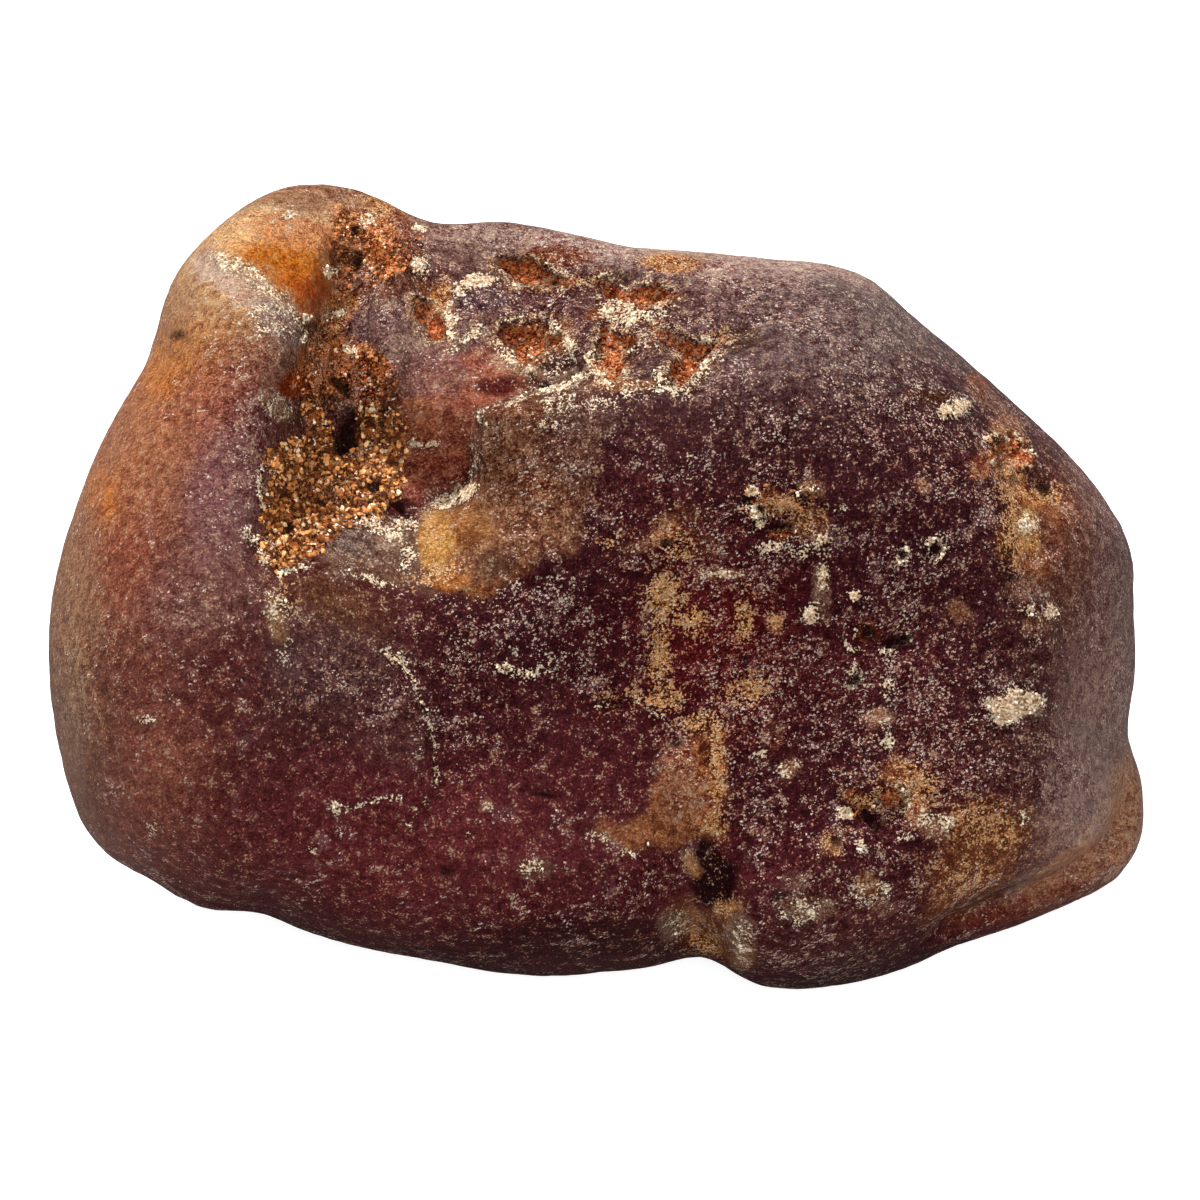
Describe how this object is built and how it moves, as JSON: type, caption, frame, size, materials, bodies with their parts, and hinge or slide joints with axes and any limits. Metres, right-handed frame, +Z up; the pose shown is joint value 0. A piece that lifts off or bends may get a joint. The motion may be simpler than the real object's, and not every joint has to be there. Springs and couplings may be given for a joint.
{
  "type": "rough hessonite garnet",
  "caption": "Rough water-worn garnet pebble with a deep crevice beside a knob, a pitted top and a small worn flat that it rests on.",
  "frame": {"origin": "middle of the bounding box, at the height of the flat it rests on", "axes": "+X along the stone's length, towards its blocky end with the foot; +Y away from the broad face that leans back; +Z up"},
  "size_m": [0.034, 0.0216, 0.0226],
  "materials": {
    "hessonite": "water-worn and frosted, dark plum to amber, with ochre grit in its crevice and pits"
  },
  "bodies": {
    "root": {"stone": "hessonite"}
  },
  "joints": []
}
